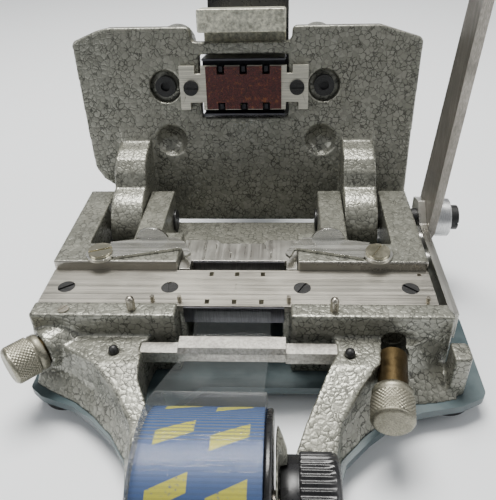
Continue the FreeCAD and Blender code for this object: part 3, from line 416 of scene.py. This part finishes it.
# %% Plastic and rubber
def make_plain(name, color, roughness, grain=3.0, depth=0.02, **constants):
    material, net, shader = finish_material(name, color, roughness, 0.0, **constants)
    marks = use_group(net, handling_marks, Size=0.15)
    lighter = [min(1, c * 1.8 + 0.01) for c in color]
    net.feed(shader, "Base Color", net.mix(net.math("MULTIPLY", marks["Smudge"], 0.4), color, lighter))
    net.feed(shader, "Roughness", net.step(marks["Smudge"], 0, 1, roughness * 0.8, roughness * 1.3))
    bump(net, shader, noise_value(net, net.place(), grain, 3.0), depth * MM)
    return material


# %% Granular pad
def make_cork():
    material, net, shader = finish_material("pad_grains", (0.08, 0.014, 0.012), 0.6)
    place = net.place()
    grains = net.add("ShaderNodeTexVoronoi", {"feature": "F1"}, Vector=place, Scale=3.2)
    tone = net.add("ShaderNodeSeparateColor", Color=grains.outputs["Color"]).outputs[0]
    red = net.mix(tone, (0.018, 0.004, 0.005), (0.10, 0.017, 0.014))
    amber = net.step(noise_value(net, place, 0.9, 4.0), 0.56, 0.7)
    net.feed(shader, "Base Color", net.mix(net.math("MULTIPLY", amber, 0.42), red, (0.34, 0.11, 0.02)))
    bump(net, shader, grains.outputs["Distance"], 0.15 * MM)
    return material


black_plastic = make_plain("black_plastic", (0.012, 0.012, 0.013), 0.28)
rubber = make_plain("rubber", (0.02, 0.02, 0.02), 0.7, grain=5.0, depth=0.05)
pad_grains = make_cork()


# %% Clear film
def make_clear(name, color, body_alpha, edge_alpha, rings=0.0):
    """Thin clear film: nearly invisible face on, mirror-like at a glance; rings adds the cloudy ends of a roll."""
    material, net, shader = finish_material(name, color, 0.06, 0.0, IOR=1.55)
    glance = net.add("ShaderNodeLayerWeight", Blend=0.35).outputs["Fresnel"]
    alpha = net.step(glance, 0.1, 0.9, body_alpha, edge_alpha)
    if rings:
        across = net.add("ShaderNodeSeparateXYZ")
        material.node_tree.links.new(net.add("ShaderNodeNewGeometry").outputs["Normal"], across.inputs[0])
        end = net.step(net.math("ABSOLUTE", across.outputs[0]), 0.4, 0.8)
        alpha = net.math("MAXIMUM", alpha, net.math("MULTIPLY", end, rings))
    net.feed(shader, "Alpha", alpha)
    creases = noise_value(net, net.place((0.08, 0.5, 0.5)), 1.0, 3.0)
    bump(net, shader, creases, 0.25 * MM)
    return material


# %% Printed core
def make_core_print():
    """Card core printed blue, with slanting yellow bars in two staggered rows round the roll."""
    material, net, shader = finish_material("core_print", (0.06, 0.13, 0.36), 0.45)
    low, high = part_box("tape_core")
    middle = (low + high) / 2
    local = net.add("ShaderNodeVectorMath", {"operation": "SUBTRACT"})
    material.node_tree.links.new(net.add("ShaderNodeTexCoord").outputs["Object"], local.inputs[0])
    local.inputs[1].default_value = middle
    part = net.add("ShaderNodeSeparateXYZ")
    material.node_tree.links.new(local.outputs[0], part.inputs[0])
    across = net.math("MULTIPLY", part.outputs[0], 1000.0)
    core_radius = (high.z - low.z) / 2 / MM
    round_the_roll = net.math("MULTIPLY", net.math("ARCTAN2", part.outputs[2], part.outputs[1]), core_radius)
    row = net.math("GREATER_THAN", across, 0.0)
    shifted = net.math("ADD", round_the_roll, net.math("ADD", net.math("MULTIPLY", row, 5.5),
                                                       net.math("MULTIPLY", across, 0.45)))
    repeat = net.math("PINGPONG", shifted, 5.5)
    bar = net.step(repeat, 1.55, 1.75, 1.0, 0.0)
    lane = net.math("PINGPONG", net.math("ADD", across, 5.0), 5.0)
    inside = net.step(lane, 3.3, 3.5, 1.0, 0.0)
    fade = net.step(noise_value(net, net.place(), 1.5, 3.0), 0.2, 0.45)
    ink = net.math("MULTIPLY", net.math("MULTIPLY", bar, inside), fade)
    blue = net.mix(noise_value(net, net.place(), 0.4, 2.0), (0.02, 0.062, 0.19), (0.035, 0.09, 0.26))
    net.feed(shader, "Base Color", net.mix(ink, blue, (0.50, 0.47, 0.03)))
    return material


core_print = make_core_print()
clear_tape = make_clear("clear_tape", (0.30, 0.32, 0.32), 0.06, 0.55)
wound_tape = make_clear("wound_tape", (0.16, 0.17, 0.17), 0.10, 0.6, rings=0.8)

floor.data.materials.append(finish_material("floor_paint", (0.86, 0.88, 0.9), 0.5)[0])

# %% Give every node its finish
FINISHES = {
    hammertone: ["base_casting", "head_casting", "guide_towers", "spool_bracket"],
    plate_enamel: ["base_plate"],
    rubber: ["rubber_feet"],
    track_steel: ["film_track"],
    shelf_steel: ["rear_tape_plate", "fixed_cutter_bar"],
    black_screw: ["track_screws", "guide_bolts", "pressure_plate_screws", "hinge_pins", "bar_pins", "handle_screws",
                  "blade_screws", "pivot_bolt"],
    pin_steel: ["register_pins", "rear_register_pin", "guide_pins", "rail_screw", "spool_axle", "spool_bolt"],
    polished_steel: ["left_side_lever", "right_side_lever"],
    screw_nickel: ["side_lever_screws"],
    blade_steel: ["rear_fixed_blade", "front_fixed_blade", "front_blade", "rear_blade"],
    blued_steel: ["punches", "press_block"],
    spring_wire: ["return_springs"],
    cast_bare: ["tape_bar"],
    lip_painted_light: ["tape_clamp_lip"],
    ground_steel: ["pressure_plate"],
    pad_grains: ["cork_pad"],
    black_plastic: ["press_handle", "lever_grip", "spool_hub", "spool_knob"],
    lever_steel: ["cutter_lever"],
    turned_alloy: ["pivot_sleeve", "bar_spacers"],
    dull_brass: ["right_plunger", "left_plunger"],
    nickel: ["right_knob", "left_knob"],
    core_print: ["tape_core"],
    clear_tape: ["tape_strip"],
    wound_tape: ["tape_winding"],
}
for material, names in FINISHES.items():
    for name in names:
        nodes[name].data.materials.clear()
        nodes[name].data.materials.append(material)
print("finishes", len(FINISHES), "for", sum(map(len, FINISHES.values())), "nodes")

# %% [markdown]
# ## Edges
#
# A die casting has no sharp corner, and neither has its paint. The castings are skinned again with a fine grid and
# relaxed, which rounds every edge by about half a millimetre and leaves the flats alone. Machined pieces only have
# their edges broken with a small bevel.

# %% Round the castings, break the edges of the rest
CAST = {"base_casting": (0.42, 5), "head_casting": (0.45, 5), "guide_towers": (0.5, 4), "spool_bracket": (0.45, 5)}
for name, (grid, passes) in CAST.items():
    skin = nodes[name].modifiers.new("skin", "REMESH")
    skin.mode = "VOXEL"
    skin.voxel_size = grid * MM
    skin.use_smooth_shade = True
    relax = nodes[name].modifiers.new("relax", "SMOOTH")
    relax.factor = 0.6
    relax.iterations = passes

BROKEN = {
    0.7: ["press_handle", "lever_grip", "tape_clamp_lip"],
    0.45: ["base_plate", "tape_bar", "rubber_feet", "press_block", "spool_hub"],
    0.2: ["cutter_lever", "fixed_cutter_bar", "pivot_sleeve", "pivot_bolt", "handle_screws", "guide_bolts"],
    0.25: ["side_lever_screws", "left_side_lever", "right_side_lever"],
    0.12: ["track_screws", "pressure_plate_screws", "rear_tape_plate", "pressure_plate", "hinge_pins", "bar_spacers",
           "blade_screws"],
}
for width, names in BROKEN.items():
    for name in names:
        weld = nodes[name].modifiers.new("weld", "WELD")
        weld.merge_threshold = 0.002 * MM
        bevel = nodes[name].modifiers.new("edge", "BEVEL")
        bevel.width = width * MM
        bevel.segments = 3
        bevel.limit_method = "ANGLE"
        bevel.angle_limit = math.radians(40)
        bevel.use_clamp_overlap = True
        bevel.harden_normals = True
        flats = nodes[name].modifiers.new("flats", "WEIGHTED_NORMAL")
        flats.mode = "FACE_AREA_WITH_ANGLE"
        flats.weight = 90
print("rounded", len(CAST), "castings; broke edges on", sum(map(len, BROKEN.values())), "nodes")


# %% [markdown]
# ## Turned pieces
#
# The knobs are lathe work, so each is drawn as half a section and spun about its axis. The same routine cuts the
# knurl, by letting the radius rise and fall with the angle and the distance along the axis, as a knurling wheel does.

# %% Lathe
def lathe(name, start, axis, section, material, around=96, cut=None):
    """Spin a section of (along, radius) points in mm about an axis; cut(along, angle) gives depth in mm to remove."""
    axis = axis.normalized()
    side = axis.orthogonal().normalized()
    other = axis.cross(side)
    mesh = bmesh.new()
    rings = []
    for along, radius in section:
        ring = []
        for step in range(around):
            angle = 2 * math.pi * step / around
            depth = cut(along, angle) if cut else 0.0
            out = side * math.cos(angle) + other * math.sin(angle)
            ring.append(mesh.verts.new(start + (axis * along + out * (radius - depth)) * MM))
        rings.append(ring)
    for low, high in zip(rings, rings[1:]):
        for step in range(around):
            after = (step + 1) % around
            mesh.faces.new((low[step], low[after], high[after], high[step]))
    mesh.faces.new(list(reversed(rings[0])))
    mesh.faces.new(rings[-1])
    bmesh.ops.recalc_face_normals(mesh, faces=mesh.faces)
    data = bpy.data.meshes.new(name)
    mesh.to_mesh(data)
    mesh.free()
    for face in data.polygons:
        face.use_smooth = True
    piece = bpy.data.objects.new(name, data)
    bpy.context.scene.collection.objects.link(piece)
    data.materials.append(material)
    return piece


def steps(low, high, count):
    return [low + (high - low) * n / count for n in range(count + 1)]


def diamond(low, high, teeth, pitch, depth):
    """Two crossing helical cuts between two distances along the axis."""
    def cut(along, angle):
        if not low < along < high:
            return 0.0
        turn = angle / (2 * math.pi) * teeth
        waves = (turn + along / pitch, turn - along / pitch)
        return depth * max(abs(2 * (wave % 1) - 1) ** 1.5 for wave in waves)
    return cut


# %% Knurled stop knobs
KNOB_LONG, KNOB_RADIUS = 9.5, 5.5
for side in ("left", "right"):
    low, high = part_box(f"{side}_knob")
    axis = Vector(joint[f"{side}_stop_slide"]["axis"])
    start = (low + high) / 2 - axis * KNOB_LONG / 2 * MM
    section = [(0, 3.9), (0, 4.9), (0.25, 5.15), (1.9, 5.2), (2.1, 4.95), (2.5, 4.95), (2.7, KNOB_RADIUS - 0.1)]
    section += [(along, KNOB_RADIUS) for along in steps(2.8, 8.4, 44)]
    section += [(8.5, KNOB_RADIUS - 0.1), (9.1, 5.0), (9.4, 4.6), (9.5, 4.2), (9.42, 3.6), (9.4, 0.02)]
    knob = lathe(f"{side}_stop_knob", start, axis, section, nickel, around=192,
                 cut=diamond(2.75, 8.45, 34, 1.02, 0.34))
    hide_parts(f"{side}_knob")
    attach(knob, f"{side}_stop")
    print(knob.name, len(knob.data.vertices), "points")

# %% Ribbed drag knob
low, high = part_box("spool_knob")
axle = Vector((0, (low.y + high.y) / 2, (low.z + high.z) / 2))
NECK_LONG, RIBBED_END, DRAG_RADIUS = 3.5, 11.2, 9.5


def ribs(along, angle):
    inside = min(1.0, max(0.0, (along - NECK_LONG - 0.1) / 0.3), max(0.0, (RIBBED_END - 1.2 - along) / 0.3))
    return 0.42 * inside * (0.5 + 0.5 * math.cos(44 * angle)) ** 0.7


section = [(0, 2.6), (0, 8.6), (0.3, 8.95), (3.3, 8.95), (3.5, 8.9), (3.55, 9.2), (3.9, DRAG_RADIUS)]
section += [(along, DRAG_RADIUS) for along in steps(4.0, 9.9, 6)]
section += [(10.1, 9.4), (10.6, 9.25), (11.0, 8.8), (11.2, 8.2), (11.2, 6.5), (10.9, 6.1), (10.8, 0.02)]
drag = lathe("drag_knob_body", Vector((low.x, axle.y, axle.z)), Vector((1, 0, 0)), section, black_plastic, around=352,
             cut=ribs)
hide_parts("spool_knob")
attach(drag, "drag_knob")
print(drag.name, len(drag.data.vertices), "points")


# %% [markdown]
# ## Springs
#
# Two compression springs lift the ram. They stand on the head and push up under the handle, and in the machine they
# shorten by the ram's travel; here each is drawn at one length, carried with the head, and is wire wound round its
# axis with closed end coils.

# %% Coil springs
def coil(name, start, end, radius, wire, turns, material, sides=10):
    axis = (end - start).normalized()
    side = axis.orthogonal().normalized()
    other = axis.cross(side)
    long = (end - start).length
    mesh = bmesh.new()
    count = int(turns * 28)
    previous = None
    for step in range(count + 1):
        share = step / count
        angle = 2 * math.pi * turns * share
        rise = wire * MM + (long - 2 * wire * MM) * (share - 0.03 * math.sin(4 * math.pi * share))
        out = side * math.cos(angle) + other * math.sin(angle)
        middle = start + axis * rise + out * radius * MM
        ring = [mesh.verts.new(middle + (out * math.cos(a) + axis * math.sin(a)) * wire * MM)
                for a in (2 * math.pi * n / sides for n in range(sides))]
        if previous:
            for n in range(sides):
                mesh.faces.new((previous[n], previous[(n + 1) % sides], ring[(n + 1) % sides], ring[n]))
        else:
            mesh.faces.new(list(reversed(ring)))
        previous = ring
    mesh.faces.new(previous)
    bmesh.ops.recalc_face_normals(mesh, faces=mesh.faces)
    data = bpy.data.meshes.new(name)
    mesh.to_mesh(data)
    mesh.free()
    for face in data.polygons:
        face.use_smooth = True
    piece = bpy.data.objects.new(name, data)
    bpy.context.scene.collection.objects.link(piece)
    data.materials.append(material)
    return piece


SPRING_X, SPRING_Y, SPRING_FOOT, SPRING_TOP = 9, 17.2, 11.3, 37.9
COIL_RADIUS, WIRE_RADIUS, COIL_TURNS = 3.45, 0.5, 8
for number, x in enumerate((-SPRING_X, SPRING_X)):
    foot, top = head_spot(x, SPRING_Y, SPRING_FOOT), head_spot(x, SPRING_Y, SPRING_TOP)
    spring = coil(f"return_spring_{number + 1}", foot, top, COIL_RADIUS, WIRE_RADIUS, COIL_TURNS, spring_wire)
    if number == 0:
        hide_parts("return_springs")
    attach(spring, "head")
    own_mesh(spring)
print("springs", 2)


# %% [markdown]
# ## The tape's free end
#
# The tape leaves the top of the roll, bends over the cross bar and is stuck down at the track's front edge. It is a
# single thin film, slack enough to crease lengthwise between the roll and the bar, which is where it catches light.

# %% Free tape
def tape_path():
    """Points along the tape, in millimetres from the datum, as (y, z)."""
    bar_low, bar_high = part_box("tape_bar")
    bar_top = (bar_high.z - datum.z) / MM
    bar_rear = (bar_high.y - datum.y) / MM
    bar_front = (bar_low.y - datum.y) / MM
    corners = [(-54.3, 19.9), (bar_front + 1.5, bar_top + 0.45), (bar_rear, bar_top + 0.45), (-9, -0.95)]
    points = []
    for (y0, z0), (y1, z1) in zip(corners, corners[1:]):
        count = max(2, int(math.hypot(y1 - y0, z1 - z0) / 1.2))
        points += [(y0 + (y1 - y0) * n / count, z0 + (z1 - z0) * n / count) for n in range(count)]
    return points + [corners[-1]]


path = tape_path()
low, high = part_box("tape_strip")
mesh = bmesh.new()
rows = []
ACROSS = 24
for number, (y, z) in enumerate(path):
    slack = math.sin(math.pi * min(1.0, number / (0.62 * len(path)))) if number < 0.62 * len(path) else 0.0
    row = []
    for n in range(ACROSS + 1):
        u = n / ACROSS
        crease = 0.22 * slack * (math.sin(9 * u + 0.12 * number) + 0.5 * math.sin(17 * u + 2))
        row.append(mesh.verts.new(Vector((low.x + (high.x - low.x) * u, datum.y + y * MM,
                                          datum.z + (z + crease * 0.6 - 0.1) * MM))))
    rows.append(row)
for one, two in zip(rows, rows[1:]):
    for n in range(ACROSS):
        mesh.faces.new((one[n], one[n + 1], two[n + 1], two[n]))
data = bpy.data.meshes.new("free_tape")
mesh.to_mesh(data)
mesh.free()
for face in data.polygons:
    face.use_smooth = True
data.materials.append(clear_tape)
tape = bpy.data.objects.new("free_tape", data)
bpy.context.scene.collection.objects.link(tape)
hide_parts("tape_strip")
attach(tape, "base")
